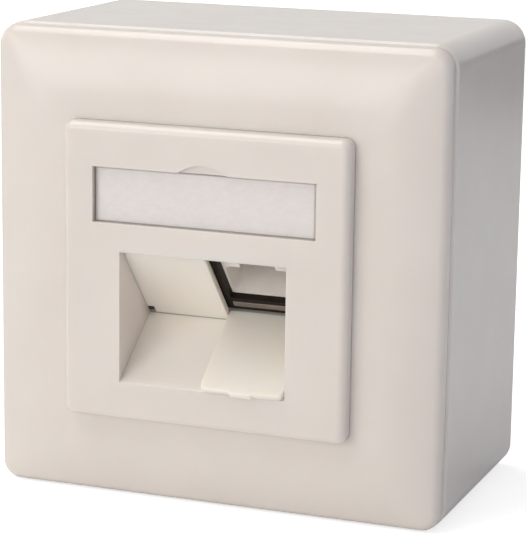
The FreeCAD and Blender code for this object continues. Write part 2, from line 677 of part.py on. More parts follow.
# Contact carriers, spring contacts and wire terminals, one set for each port.
CARRIER_FLOOR = "(size.port_floor + size.carrier_gap)"
CARRIER_TOP = "(size.port_floor + size.port_height - size.carrier_gap)"
COMB_FRONT = f"({TRAY_FLOOR} - size.comb_length)"
CARRIER_WALL = f"({TRAY_FLOOR} - size.carrier_back)"
COMB_TOP = f"({CARRIER_FLOOR} + size.comb_height)"
CONTACT_FLOOR = f"({COMB_TOP} - size.contact_thickness * 2)"
for name, side in SIDES:
    port_x = f"{side} * size.port_pitch / 2"
    first_contact = f"{port_x} - size.contact_pitch * {CONTACTS - 1} / 2"

    carrier = new_body(name + "_insert")
    lean_on_ports(carrier, "size.port_tilt")
    profile = outline(
        sketch_on(carrier, name + "_carrier", "YZ_Plane", out=port_x),
        [
            (COMB_FRONT, CARRIER_FLOOR), (TRAY_FLOOR, CARRIER_FLOOR), (TRAY_FLOOR, CARRIER_TOP),
            (CARRIER_WALL, CARRIER_TOP), (CARRIER_WALL, COMB_TOP), (COMB_FRONT, COMB_TOP),
        ],
    )
    carrier_pad = pad(carrier, profile, "size.port_width - 2 * size.carrier_gap", symmetric=True)
    reach = value("size.port_width") / 2 - value("size.carrier_gap")
    rows = (value(CARRIER_FLOOR), value(CARRIER_TOP))
    round_edges(
        carrier, carrier_pad, "size.port_round",
        lambda edge: runs_along_y(edge) and near(abs(edge.CenterOfMass.x - value(port_x)), reach)
        and any(near(edge.CenterOfMass.z, z) for z in rows),
    )
    groove = rectangle(
        sketch_on(carrier, name + "_groove", "YZ_Plane", out=first_contact),
        COMB_FRONT, TRAY_FLOOR, f"{CONTACT_FLOOR} - size.contact_gap", COMB_TOP,
    )
    groove_cut = pocket(carrier, groove, "size.contact_slot", symmetric=True)
    repeat(carrier, groove_cut, CONTACTS, "size.contact_pitch")

    contacts = new_body(name + "_contacts")
    lean_on_ports(contacts, "size.port_tilt")
    back_end = f"({CARRIER_WALL} - 2 * size.contact_thickness)"
    nose = f"({COMB_FRONT} + size.contact_thickness)"
    spring_top = f"({CONTACT_FLOOR} + size.contact_rise)"
    spring = outline(
        sketch_on(contacts, name + "_contact", "YZ_Plane", out=first_contact),
        [
            (TRAY_FLOOR, CONTACT_FLOOR),
            (f"{nose} + size.contact_thickness", CONTACT_FLOOR),
            (nose, f"{CONTACT_FLOOR} + size.contact_thickness"),
            (back_end, spring_top),
            (f"{back_end} + size.contact_thickness / 2", f"{spring_top} - size.contact_thickness"),
            (f"{nose} + 3 * size.contact_thickness", f"{CONTACT_FLOOR} + 5 / 3 * size.contact_thickness"),
            (f"{nose} + 3 * size.contact_thickness", f"{CONTACT_FLOOR} + size.contact_thickness"),
            (TRAY_FLOOR, f"{CONTACT_FLOOR} + size.contact_thickness"),
        ],
    )
    spring_pad = pad(contacts, spring, "size.contact_width", symmetric=True)
    repeat(contacts, spring_pad, CONTACTS, "size.contact_pitch")

    terminal = new_body(name + "_terminal")
    lean_on_ports(terminal, "size.port_tilt")
    block_back = f"({BOARD_BACK} + size.terminal_length)"
    base = rectangle(
        sketch_on(terminal, name + "_terminal_base", "XZ_Plane", out=f"-{block_back}"),
        f"{port_x} - size.terminal_width / 2", f"{port_x} + size.terminal_width / 2",
        f"{TRAY_MIDDLE} - size.terminal_height / 2", f"{TRAY_MIDDLE} + size.terminal_height / 2",
    )
    pad(terminal, base, "size.terminal_length")
    channel = rectangle(
        sketch_on(terminal, name + "_channel", "XZ_Plane", out=f"-{block_back}"),
        f"{port_x} - size.terminal_width", f"{port_x} + size.terminal_width",
        f"{TRAY_MIDDLE} - size.terminal_channel / 2", f"{TRAY_MIDDLE} + size.terminal_channel / 2",
    )
    pocket(terminal, channel, "size.terminal_slot_depth", reverse=True)
    wire_slot = rectangle(
        sketch_on(terminal, name + "_wire_slot", "XZ_Plane", out=f"-{block_back}"),
        f"{port_x} - size.terminal_slot_pitch * {TERMINAL_SLOTS - 1} / 2 - size.terminal_slot / 2",
        f"{port_x} - size.terminal_slot_pitch * {TERMINAL_SLOTS - 1} / 2 + size.terminal_slot / 2",
        f"{TRAY_MIDDLE} - size.terminal_height", f"{TRAY_MIDDLE} + size.terminal_height",
    )
    wire_cut = pocket(terminal, wire_slot, "size.terminal_slot_depth", reverse=True)
    repeat(terminal, wire_cut, TERMINAL_SLOTS, "size.terminal_slot_pitch")

# Lid of the housing, with a rim that snaps inside the tray.
cover = new_body("housing_cover")
lean_on_ports(cover, "size.port_tilt")
lid = rectangle(
    sketch_on(cover, "lid", "XZ_Plane", out=f"-({TRAY_BACK} + size.cover_thickness)"),
    "-size.housing_width / 2", "size.housing_width / 2", "size.tray_bottom", "size.tray_top",
)
pad(cover, lid, "size.cover_thickness")
rim = sketch_on(cover, "lid_rim", "XZ_Plane", out=f"-{TRAY_BACK}")
for inset in ("size.cover_gap", "(size.cover_gap + size.cover_rim)"):
    rectangle(
        rim, f"-({CAVITY_WIDTH} / 2 - {inset})", f"{CAVITY_WIDTH} / 2 - {inset}",
        f"size.tray_bottom + size.housing_wall + {inset}", f"size.tray_top - size.housing_wall - {inset}",
    )
pad(cover, rim, "size.cover_rim")

# Bezel: black moulded frame between the flaps and the housing, with an opening for each port.
bezel = new_body("port_bezel")
lean_on_ports(bezel, "size.port_tilt")
OPENING_BOTTOM = "(size.port_floor - size.bezel_margin)"
OPENING_TOP = "(size.port_floor + size.port_height + size.latch_height + size.bezel_latch_gap)"
plate_edges = rectangle(
    sketch_on(bezel, "bezel_outline", "XZ_Plane", out=f"-{BLOCK_FRONT}"),
    "-(size.recess_width / 2 - size.flap_gap)", "size.recess_width / 2 - size.flap_gap",
    f"{OPENING_BOTTOM} - size.bezel_foot", f"{OPENING_TOP} + size.bezel_head",
)
pad(bezel, plate_edges, "size.bezel_depth")
bezel_openings = sketch_on(bezel, "bezel_openings", "XZ_Plane", out=f"-{BEZEL_FRONT}")
for name, side in SIDES:
    port_x = f"{side} * size.port_pitch / 2"
    rectangle(
        bezel_openings, f"{port_x} - size.port_width / 2 - size.bezel_margin",
        f"{port_x} + size.port_width / 2 + size.bezel_margin", OPENING_BOTTOM, OPENING_TOP,
    )
pocket(bezel, bezel_openings)

# Cover frame: bevelled and crowned rim, window with a ledge for the plate, and a skirt inside the box.
frame = new_body("front_frame")
rim_outline = rounded_rectangle(
    sketch_on(frame, "rim_outline", "XZ_Plane", out=FRAME_BACK),
    "size.outer_width", "size.outer_height", "size.corner_radius",
)
EDGE_TURN = "(90 deg - atan(size.bevel_rise / size.bevel_width))"
EDGE_START = f"({FRAME_EDGE} - size.edge_round * tan({EDGE_TURN} / 2))"
pad(frame, rim_outline, f"{EDGE_START} - {FRAME_BACK}")
# Sections of the front, as for the shell: round the edge, up the bevel and over the crown to the flat.
FRONT_SECTIONS = []
for step in range(EDGE_STEPS + 1):
    turn = f"({EDGE_TURN} * {step} / {EDGE_STEPS})"
    inset = f"(size.edge_round * (1 - cos({turn})))"
    place = f"({EDGE_START} + size.edge_round * sin({turn}))"
    FRONT_SECTIONS.append((f"edge_{step}", inset, place, f"(size.corner_radius - {inset})"))
for step in range(CROWN_STEPS + 1):
    inset = f"(size.bevel_width + size.crown_width * {step} / {CROWN_STEPS})"
    place = f"({FRAME_FLAT} - size.crown_rise * (1 - {step} / {CROWN_STEPS}) ^ 2)"
    FRONT_SECTIONS.append((f"crown_{step}", inset, place, "size.crown_corner"))
loft(frame, "front", rounded_sections(frame, "frame", FRONT_SECTIONS))
window = rounded_rectangle(
    sketch_on(frame, "window", "XZ_Plane", out=FRAME_FLAT),
    WINDOW_WIDTH, WINDOW_HEIGHT, "size.plate_corner + size.plate_gap",
)
pocket(frame, window, "size.plate_sink")
ledge = rectangle(
    sketch_on(frame, "ledge", "XZ_Plane", out=LEDGE),
    f"-({WINDOW_WIDTH} / 2 - size.ledge_reach)", f"{WINDOW_WIDTH} / 2 - size.ledge_reach",
    f"-({WINDOW_HEIGHT} / 2 - size.ledge_reach)", f"{WINDOW_HEIGHT} / 2 - size.ledge_reach",
)
pocket(frame, ledge)
underside = sketch_on(frame, "underside", "XZ_Plane", out=FRAME_BACK)
for width, height in (
    ("(size.outer_width - 2 * size.frame_rim_width)", "(size.outer_height - 2 * size.frame_rim_width)"),
    (f"({WINDOW_WIDTH} + 2 * size.window_wall)", f"({WINDOW_HEIGHT} + 2 * size.window_wall)"),
):
    rectangle(underside, f"-{width} / 2", f"{width} / 2", f"-{height} / 2", f"{height} / 2")
pocket(frame, underside, f"{FRAME_FLAT} - size.frame_wall - {FRAME_BACK}", reverse=True)
skirt = sketch_on(frame, "skirt", "XZ_Plane", out=SEAT)
for inset in ("size.fit_gap", "(size.fit_gap + size.skirt_wall)"):
    rounded_rectangle(
        skirt, f"({BOX_INNER_WIDTH} - 2 * {inset})", f"({BOX_INNER_HEIGHT} - 2 * {inset})",
        f"(size.hollow_corner - {inset})",
    )
pad(frame, skirt, f"{FRAME_BACK} - {SEAT}")

# Centre plate: moulded square with a label pocket and the V recess, whose side walls carry the hinge pin.
plate = new_body("centre_plate")
plate_outline = rounded_rectangle(
    sketch_on(plate, "plate_outline", "XZ_Plane", out=LEDGE),
    "size.plate_width", "size.plate_height", "size.plate_corner",
)
plate_pad = pad(plate, plate_outline, f"{FACE} - {LEDGE}")
round_edges(plate, plate_pad, "size.plate_edge_round", lambda edge: lies_at(edge, -value(FACE)))
plate_hollow = rectangle(
    sketch_on(plate, "plate_hollow", "XZ_Plane", out=LEDGE),
    "-(size.plate_width / 2 - size.plate_side)", "size.plate_width / 2 - size.plate_side",
    "-(size.plate_height / 2 - size.plate_side)", "size.plate_height / 2 - size.plate_side",
)
pocket(plate, plate_hollow, f"{PLATE_INNER} - {LEDGE}", reverse=True)
chute_start = f"({FACE} - size.plate_wall / 2)"
chute_end = f"({HINGE_FORWARD} - size.chute_reach)"
chute_top = "(size.recess_top + size.chute_wall)"
wall_below = f"(size.chute_wall / cos({FLOOR_ANGLE}))"
chute = outline(
    sketch_on(plate, "chute", "YZ_Plane"),
    [
        (f"-{chute_start}", f"{recess_floor(chute_start)} - {wall_below}"),
        (f"-{chute_end}", f"{recess_floor(chute_end)} - {wall_below}"),
        (f"-{chute_end}", chute_top),
        (f"-{chute_start}", chute_top),
    ],
)
pad(plate, chute, "size.recess_width + 2 * size.chute_wall", symmetric=True)
chute_trim = rectangle(
    sketch_on(
        plate, "chute_trim", "YZ_Plane",
        right=f"-{HINGE_FORWARD}", up="-size.hinge_drop", turn="size.port_tilt",
    ),
    f"{BLOCK_FRONT} - size.fit_gap", TRAY_FLOOR,
    "size.block_bottom - size.fit_gap", "size.block_top + size.bezel_head",
)
pocket(plate, chute_trim, "size.plate_width", symmetric=True)
room = f"({FACE} + size.plate_wall)"
recess_back = f"({HINGE_FORWARD} - {TRAY_FLOOR})"
recess_head = f"({chute_top} + size.plate_wall)"
recess = outline(
    sketch_on(plate, "recess", "YZ_Plane"),
    [
        (f"-{room}", recess_floor(room)),
        (f"-{recess_back}", recess_floor(recess_back)),
        (f"-{recess_back}", recess_head),
        (f"-({FACE} - ({recess_head} - size.recess_top) * tan(size.port_tilt))", recess_head),
        (f"-{room}", f"size.recess_top - ({room} - {FACE}) / tan(size.port_tilt)"),
    ],
)
pocket(plate, recess, "size.recess_width", symmetric=True)
relief = circle(
    sketch_on(plate, "barrel_relief", "YZ_Plane"),
    "size.barrel_radius + size.barrel_relief", f"-{HINGE_FORWARD}", "-size.hinge_drop",
)
pocket(plate, relief, "size.recess_width", symmetric=True)
pin_hole = circle(
    sketch_on(plate, "pin_hole", "YZ_Plane"),
    "size.pin_radius + size.pin_clearance", f"-{HINGE_FORWARD}", "-size.hinge_drop",
)
pocket(plate, pin_hole, "size.plate_width", symmetric=True)
label_back = rectangle(
    sketch_on(plate, "label_back", "XZ_Plane", out=f"{PLATE_INNER} - size.label_back"),
    "-(size.label_width / 2 + size.label_back)", "size.label_width / 2 + size.label_back",
    "size.label_up - size.label_height / 2 - size.label_back",
    "size.label_up + size.label_height / 2 + size.label_back",
)
pad(plate, label_back, "size.label_back")
boss = circle(
    sketch_on(plate, "screw_boss", "XZ_Plane", out=f"{RING_FRONT} + size.boss_gap"),
    "size.boss_radius", "0", "size.centre_screw_up",
)
pad(plate, boss, f"{PLATE_INNER} - {RING_FRONT} - size.boss_gap")
label_pocket = rectangle(
    sketch_on(plate, "label_pocket", "XZ_Plane", out=FACE),
    "-size.label_width / 2", "size.label_width / 2",
    "size.label_up - size.label_height / 2", "size.label_up + size.label_height / 2",
)
pocket(plate, label_pocket, "size.label_depth")
NOTCH_RADIUS = "((size.notch_width ^ 2 / 4 + size.notch_rise ^ 2) / (2 * size.notch_rise))"
notch = sketch_on(plate, "thumb_notch", "XZ_Plane", out=FACE)
label_top = "(size.label_up + size.label_height / 2)"
half_notch = value("size.notch_width / 2")
chord_z = value(label_top)
crest = FreeCAD.Vector(0, chord_z + value("size.notch_rise"), 0)
chord = [FreeCAD.Vector(half_notch, chord_z, 0), FreeCAD.Vector(-half_notch, chord_z, 0)]
notch.addGeometry(Part.Arc(chord[0], crest, chord[1]), False)
notch.addGeometry(Part.LineSegment(chord[1], chord[0]), False)
notch.addConstraint(Sketcher.Constraint("Coincident", 0, 2, 1, 1))
notch.addConstraint(Sketcher.Constraint("Coincident", 1, 2, 0, 1))
bind(notch, "Radius", 0, to=NOTCH_RADIUS)
pin_point(notch, 1, 1, "-size.notch_width / 2", label_top)
pin_point(notch, 1, 2, "size.notch_width / 2", label_top)
pocket(plate, notch, "size.notch_depth")
CENTRE_HOLE = "(size.screw_radius + size.through_clearance)"
screw_hole = circle(
    sketch_on(plate, "screw_hole", "XZ_Plane", out=LABEL_FLOOR),
    CENTRE_HOLE, "0", "size.centre_screw_up",
)
screw_cut = pocket(plate, screw_hole)
round_edges(
    plate, screw_cut, "size.countersink",
    lambda edge: lies_at(edge, -value(LABEL_FLOOR)) and edge.Curve.TypeId == "Part::GeomCircle",
    kind="Chamfer",
)

# Steel pin of the flaps, carried in the side walls of the recess.
pin = doc.addObject("Part::Cylinder", "hinge_pin")
pin.Label = "hinge_pin"
pin.Placement = FreeCAD.Placement(FreeCAD.Vector(0, 0, 0), FreeCAD.Rotation(FreeCAD.Vector(0, 1, 0), 90))
pin.setExpression("Radius", "size.pin_radius")
pin.setExpression("Height", "size.recess_width + 2 * size.chute_wall")
pin.setExpression("Placement.Base.x", "-(size.recess_width / 2 + size.chute_wall)")
pin.setExpression("Placement.Base.y", f"-{HINGE_FORWARD}")
pin.setExpression("Placement.Base.z", "-size.hinge_drop")
sub_parts.append(pin)

# Dust flaps: plates with a hinge barrel and a finger tongue. The left one is shut, the right one lies open.
FLAP_ANGLES = {"left": "size.port_tilt", "right": f"90 deg + {FLOOR_ANGLE}"}
for name, side in SIDES:
    flap = new_body(name + "_flap")
    lean_on_ports(flap, FLAP_ANGLES[name])
    inner = f"{side} * size.flap_gap / 2"
    outer = f"{side} * (size.recess_width / 2 - size.flap_gap)"
    barrel_end = f"{side} * (size.recess_width / 2 - size.flap_gap - size.flap_notch_width)"
    middle = f"{side} * (size.recess_width / 2 - size.flap_gap / 2) / 2"
    tip = "size.flap_length + size.tongue_reach"
    flap_outline = outline(
        sketch_on(flap, name + "_flap_outline", "XZ_Plane", out=f"-{HALF_FLAP}"),
        [
            (inner, "0"), (barrel_end, "0"), (barrel_end, "size.flap_notch_height"),
            (outer, "size.flap_notch_height"),
            (outer, "size.flap_length"),
            (f"{middle} + {side} * size.tongue_width / 2", "size.flap_length"),
            (f"{middle} + {side} * size.tongue_width / 2", tip),
            (f"{middle} - {side} * size.tongue_width / 2", tip),
            (f"{middle} - {side} * size.tongue_width / 2", "size.flap_length"),
            (inner, "size.flap_length"),
        ],
    )
    flap_pad = pad(flap, flap_outline, "size.flap_thickness")
    corners = (value(inner), value(outer))
    rounded = round_edges(
        flap, flap_pad, "size.flap_corner",
        lambda edge: runs_along_y(edge) and near(edge.CenterOfMass.z, value("size.flap_length"))
        and any(near(edge.CenterOfMass.x, x) for x in corners),
    )
    round_edges(
        flap, rounded, "size.flap_edge_chamfer",
        lambda edge: lies_at(edge, edge.CenterOfMass.y)
        and edge.CenterOfMass.z > 1.01 * value("size.flap_notch_height"),
        kind="Chamfer",
    )
    barrel = circle(sketch_on(flap, name + "_barrel", "YZ_Plane", out=inner), "size.barrel_radius")
    pad(flap, barrel, f"abs({barrel_end} - {inner})", reverse=side < 0)
    bore = circle(sketch_on(flap, name + "_bore", "YZ_Plane"), "size.pin_radius + size.pin_clearance")
    pocket(flap, bore, "2 * size.recess_width", symmetric=True)

# Countersunk screw behind the label: it pulls the plate, and with it the frame, towards the ring.
centre_screw = new_body("centre_screw")
SCREW_HEAD = f"({CENTRE_HOLE} + size.countersink - 2 * size.screw_clearance)"
centre_profile = outline(
    sketch_on(centre_screw, "centre_profile", "YZ_Plane", up="size.centre_screw_up"),
    [
        (f"-{LABEL_FLOOR}", "0"), (f"-{LABEL_FLOOR}", SCREW_HEAD),
        (f"-({LABEL_FLOOR} - {SCREW_HEAD} + size.screw_radius)", "size.screw_radius"),
        (f"-({RING_BACK} - size.screw_tip)", "size.screw_radius"),
        (f"-({RING_BACK} - size.screw_tip)", "0"),
    ],
)
revolve(centre_screw, centre_profile, "H_Axis")

# Label card on the floor of its pocket, under a clear window.
card = new_body("label_card")
window_piece = new_body("label_window")
for piece, start, thickness in (
    (card, LABEL_FLOOR, "size.card_thickness"),
    (window_piece, f"{LABEL_FLOOR} + size.card_thickness", "size.label_window_thickness"),
):
    face = rectangle(
        sketch_on(piece, piece.Name + "_outline", "XZ_Plane", out=start),
        "-(size.label_width / 2 - size.label_gap)", "size.label_width / 2 - size.label_gap",
        "size.label_up - size.label_height / 2 + size.label_gap",
        "size.label_up + size.label_height / 2 - size.label_gap",
    )
    pad(piece, face, thickness)

doc.recompute()
for item in doc.Objects:
    if "Invalid" in item.State or "Error" in item.State:
        raise RuntimeError(f"{item.Label} failed: {item.State}")
for cut in cuts:
    if cut.Shape.Volume > cut.BaseFeature.Shape.Volume - 1e-6:
        raise RuntimeError(f"{cut.Label} cuts nothing")
for piece in sub_parts:
    if piece.Shape.isNull() or not piece.Shape.isValid():
        raise RuntimeError(f"{piece.Label} has no valid shape")

os.makedirs("parts", exist_ok=True)
for piece in sub_parts:
    piece.Shape.exportStep(f"parts/{piece.Label}.step")
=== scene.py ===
import json
import math

import bmesh
import bpy
from mathutils import Matrix, Vector


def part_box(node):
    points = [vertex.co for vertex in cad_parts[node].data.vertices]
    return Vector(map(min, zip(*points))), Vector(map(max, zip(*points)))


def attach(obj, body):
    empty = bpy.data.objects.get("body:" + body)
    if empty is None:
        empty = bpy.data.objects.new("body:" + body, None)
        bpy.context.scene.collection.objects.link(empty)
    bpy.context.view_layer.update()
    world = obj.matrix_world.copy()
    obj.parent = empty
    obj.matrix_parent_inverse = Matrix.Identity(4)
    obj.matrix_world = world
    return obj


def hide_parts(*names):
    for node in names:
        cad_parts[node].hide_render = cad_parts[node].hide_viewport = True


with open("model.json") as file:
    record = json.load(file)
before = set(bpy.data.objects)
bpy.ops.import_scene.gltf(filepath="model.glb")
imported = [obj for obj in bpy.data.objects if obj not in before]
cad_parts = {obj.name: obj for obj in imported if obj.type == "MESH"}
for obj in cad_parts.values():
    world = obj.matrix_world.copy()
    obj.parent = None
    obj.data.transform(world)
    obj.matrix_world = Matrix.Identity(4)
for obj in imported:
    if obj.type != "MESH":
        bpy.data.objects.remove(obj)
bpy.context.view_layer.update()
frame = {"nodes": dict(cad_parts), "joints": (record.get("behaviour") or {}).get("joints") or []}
pieces = frame["nodes"]

# Surface box: the deep shell that is screwed to the wall and carries everything else.
# Injection moulded from ivory plastic with a satin gloss; two screws through its back hold it.
MM = 0.001
TONE_START = 0.3
TONE_END = 0.7
SOAK_DEPTH = 2 * MM
SOAK_RADII = (1.0, 0.75, 0.5)
WELD_REACH = 0.001 * MM
KEPT_EDGE = math.radians(30)


def new_finish(name):
    """Empty node finish of one kind of surface."""
    finish = bpy.data.materials.new(name)
    finish.use_nodes = True
    return finish


def shader_of(finish):
    """Main shader of a finish."""
    return finish.node_tree.nodes["Principled BSDF"]


def grain(finish, size, detail=2.0, stretch=(1.0, 1.0, 1.0)):
    """Speckle fixed to the piece, with grains of about one size, longer along the stretched axes."""
    tree = finish.node_tree
    place = tree.nodes.new("ShaderNodeTexCoord")
    mapping = tree.nodes.new("ShaderNodeMapping")
    mapping.inputs["Scale"].default_value = [1.0 / (size * factor) for factor in stretch]
    noise = tree.nodes.new("ShaderNodeTexNoise")
    noise.inputs["Scale"].default_value = 1.0
    noise.inputs["Detail"].default_value = detail
    tree.links.new(place.outputs["Object"], mapping.inputs["Vector"])
    tree.links.new(mapping.outputs["Vector"], noise.inputs["Vector"])
    return noise.outputs["Fac"]


def between(finish, share, low, high):
    """Number that goes from one limit to the other as a share goes from zero to one."""
    tree = finish.node_tree
    spread = tree.nodes.new("ShaderNodeMapRange")
    spread.inputs["To Min"].default_value = low
    spread.inputs["To Max"].default_value = high
    tree.links.new(share, spread.inputs["Value"])
    return spread.outputs["Result"]


def tint(finish, share, low, high):
    """Colour that goes from one tone to the other as a share grows."""
    tree = finish.node_tree
    ramp = tree.nodes.new("ShaderNodeValToRGB")
    ramp.color_ramp.elements[0].position = TONE_START
    ramp.color_ramp.elements[0].color = (*low, 1)
    ramp.color_ramp.elements[1].position = TONE_END
    ramp.color_ramp.elements[1].color = (*high, 1)
    tree.links.new(share, ramp.inputs["Fac"])
    tree.links.new(ramp.outputs["Color"], shader_of(finish).inputs["Base Color"])


def polish(finish, speckle, smooth, rough):
    """Gloss that wanders between two roughnesses."""
    roughness = between(finish, speckle, smooth, rough)
    finish.node_tree.links.new(roughness, shader_of(finish).inputs["Roughness"])


def relief(finish, speckle, height, strength):
    """Speckle raised as a fine relief of the surface."""
    tree = finish.node_tree
    bump = tree.nodes.new("ShaderNodeBump")
    bump.inputs["Distance"].default_value = height
    bump.inputs["Strength"].default_value = strength
    tree.links.new(speckle, bump.inputs["Height"])
    tree.links.new(bump.outputs["Normal"], shader_of(finish).inputs["Normal"])


def let_light_in(finish, weight):
    """Plastic that light soaks into, red further than blue."""
    shader = shader_of(finish)
    shader.inputs["Subsurface Weight"].default_value = weight
    shader.inputs["Subsurface Radius"].default_value = SOAK_RADII
    shader.inputs["Subsurface Scale"].default_value = SOAK_DEPTH


def dress(finish, *names):
    """Gives a finish to pieces by name."""
    for name in names:
        pieces[name].data.materials[0] = finish


def shade_evenly(name):
    """Lets the rounded edges of a piece run into its flat walls without a crease in the shading."""
    piece = pieces[name]
    piece.modifiers.new("joined_faces", "WELD").merge_threshold = WELD_REACH
    piece.modifiers.new("kept_edges", "EDGE_SPLIT").split_angle = KEPT_EDGE
    piece.modifiers.new("even_shade", "WEIGHTED_NORMAL")


ivory = new_finish("ivory_plastic")
tint(ivory, grain(ivory, 14 * MM), low=(0.722, 0.661, 0.612), high=(0.748, 0.689, 0.641))
polish(ivory, grain(ivory, 5 * MM), smooth=0.21, rough=0.27)
relief(ivory, grain(ivory, 0.35 * MM, detail=1.0), height=0.02 * MM, strength=0.12)
shader_of(ivory).inputs["Specular IOR Level"].default_value = 0.55
let_light_in(ivory, weight=0.4)
dress(ivory, "surface_box")
shade_evenly("surface_box")

# Support ring with its screws, and the screws of the housing: the steel skeleton inside the box.
# Stamped from sheet and turned from wire, then zinc plated; it sits on the posts of the box.


def new_metal(name):
    """Empty node finish of a bare metal."""
    finish = new_finish(name)
    shader_of(finish).inputs["Metallic"].default_value = 1.0
    return finish


zinc = new_metal("zinc_plate")
tint(zinc, grain(zinc, 3 * MM, detail=4.0), low=(0.50, 0.51, 0.52), high=(0.64, 0.65, 0.66))
polish(zinc, grain(zinc, 0.8 * MM, stretch=(6.0, 1.0, 1.0)), smooth=0.28, rough=0.46)
relief(zinc, grain(zinc, 0.4 * MM, stretch=(8.0, 1.0, 1.0)), height=0.02 * MM, strength=0.2)
dress(zinc, "support_ring", "ring_screws", "housing_screws")

# Shielded housing and its lid: the metal block with the two port tubes and the tray behind them.
# Die cast; its pale, dull colour is partly the light grey of the plated metal and partly painted light
# for the bright reflections inside the ports. The lid snaps into the tray, and the ring's lugs hold the
# block.
casting_with_painted_light = new_finish("plated_casting")
tint(casting_with_painted_light, grain(casting_with_painted_light, 4 * MM, detail=4.0), low=(0.88, 0.83, 0.78), high=(0.94, 0.89, 0.84))
polish(casting_with_painted_light, grain(casting_with_painted_light, 1.2 * MM), smooth=0.36, rough=0.5)
relief(casting_with_painted_light, grain(casting_with_painted_light, 0.5 * MM), height=0.03 * MM, strength=0.25)
dress(casting_with_painted_light, "jack_housing", "housing_cover")

# Board on the floor of the tray: glass-fibre laminate under a green solder mask.
# It carries the contacts on its front and the wire terminals on its back.
laminate = new_finish("solder_mask")
weave = grain(laminate, 1.2 * MM, stretch=(5.0, 1.0, 1.0))
tint(laminate, weave, low=(0.006, 0.060, 0.022), high=(0.012, 0.105, 0.040))
polish(laminate, grain(laminate, 2 * MM), smooth=0.22, rough=0.38)
relief(laminate, grain(laminate, 0.6 * MM, stretch=(5.0, 1.0, 1.0)), height=0.03 * MM, strength=0.3)
dress(laminate, "circuit_board")

# Wire terminals on the back of the board: pale moulded blocks with slots for the single wires.
# Glass-filled plastic with a dull skin, pressed onto the board.
block = new_finish("terminal_plastic")
tint(block, grain(block, 3 * MM), low=(0.56, 0.56, 0.53), high=(0.62, 0.62, 0.59))
polish(block, grain(block, 1 * MM), smooth=0.45, rough=0.58)
relief(block, grain(block, 0.3 * MM), height=0.02 * MM, strength=0.2)
dress(block, "left_terminal", "right_terminal")

# Contact carriers inside the ports and the bezel in front of them: matt black mouldings.
# The carriers slide into the port tubes from the board's side; the bezel is caught by the plate.
black = new_finish("black_plastic")
shader_of(black).inputs["Specular IOR Level"].default_value = 0.25
tint(black, grain(black, 2 * MM), low=(0.009, 0.005, 0.003), high=(0.015, 0.009, 0.006))
polish(black, grain(black, 1 * MM), smooth=0.45, rough=0.58)
relief(black, grain(black, 0.25 * MM), height=0.02 * MM, strength=0.25)
dress(black, "left_insert", "right_insert", "port_bezel")

# Spring contacts, eight in each port: bent wires of bronze with a thin gold plating.
# They lie in the grooves of the carrier and slope up into the plug's way.
gold = new_metal("gold_plate")
tint(gold, grain(gold, 1.5 * MM), low=(0.66, 0.43, 0.14), high=(0.76, 0.53, 0.21))
polish(gold, grain(gold, 0.5 * MM), smooth=0.20, rough=0.34)
dress(gold, "left_contacts", "right_contacts")

# Cover frame: the crowned rim that closes the box's front and leaves a square window.
# Moulded from the same ivory plastic; its skirt drops into the box, and the plate holds it down.
# Its outer wall stands a little inside the wall of the box, so the rim of the box shows beside it.
FRAME_DEPTH = 4.95 * MM
WALL_INSET = 0.3 * MM
EDGE_ROUND = 2.2 * MM
EDGE_TURN = math.radians(66)
CROWN_WIDTH = 11.0 * MM
SEAM_CORNER = 4.0 * MM
SEAM_CHAMFER = 0.15 * MM
FRAME_CORNER = 3.2 * MM
CROWN_CORNER = 5.0 * MM
INNER_CORNER = 0.4 * MM
WINDOW_INSET = 14.98 * MM
WINDOW_CORNER = 1.52 * MM
WINDOW_EDGE_ROUND = 0.05 * MM
WINDOW_EDGE_WIDTH = 0.2 * MM
LEDGE_DEPTH = 2.25 * MM
LEDGE_REACH = 2.0 * MM
WINDOW_WALL = 2.0 * MM
FRAME_WALL = 2.4 * MM
RIM_WIDTH = 5.0 * MM
SKIRT_INSET = 2.5 * MM
SKIRT_WALL = 1.5 * MM
SKIRT_CORNER = 2.8 * MM
EDGE_STEPS = 10
CROWN_STEPS = 10
WINDOW_EDGE_STEPS = 5
CORNER_STEPS = 12
RIGHT_ANGLE = math.radians(90)
SHARP_EDGE = math.radians(40)


def put_in_scene(name, data):
    """New object in the scene from a mesh, a lamp or a camera."""
    thing = bpy.data.objects.new(name, data)
    bpy.context.scene.collection.objects.link(thing)
    return thing


def rounded_loop(half_width, half_height, corner, forward):
    """Corners and straight sides of a rounded rectangle at one place along the depth."""
    points = []
    for quarter, (side, rise) in enumerate(((1, -1), (1, 1), (-1, 1), (-1, -1))):
        for step in range(CORNER_STEPS + 1):
            angle = RIGHT_ANGLE * (quarter - 1 + step / CORNER_STEPS)
            x = side * (half_width - corner) + corner * math.cos(angle)
            z = rise * (half_height - corner) + corner * math.sin(angle)
            points.append((x, -forward, z))
    return points


def skin(name, loops):
    """Smooth closed mesh over loops with the same count of points, the last one joined to the first."""
    count = len(loops[0])
    faces = []
    for row in range(len(loops)):
        low = row * count
        high = (row + 1) % len(loops) * count
        for i in range(count):
            j = (i + 1) % count
            faces.append((low + i, low + j, high + j, high + i))
    mesh = bpy.data.meshes.new(name)
    mesh.from_pydata([point for loop in loops for point in loop], [], faces)
    mesh.validate()
    mesh.shade_smooth()
    mesh.set_sharp_from_angle(angle=SHARP_EDGE)
    return put_in_scene(name, mesh)


frame_low, frame_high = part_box("front_frame")
frame_flat = -frame_low.y
frame_back = frame_flat - FRAME_DEPTH
skirt_end = -frame_high.y
ledge = frame_flat - LEDGE_DEPTH
groove = frame_flat - FRAME_WALL
edge_inset = WALL_INSET + EDGE_ROUND * (1 - math.cos(EDGE_TURN))
edge_corner = FRAME_CORNER + WALL_INSET - edge_inset
crown_rise = (CROWN_WIDTH - edge_inset) / (2 * math.tan(EDGE_TURN))
edge_start = frame_flat - crown_rise - EDGE_ROUND * math.sin(EDGE_TURN)
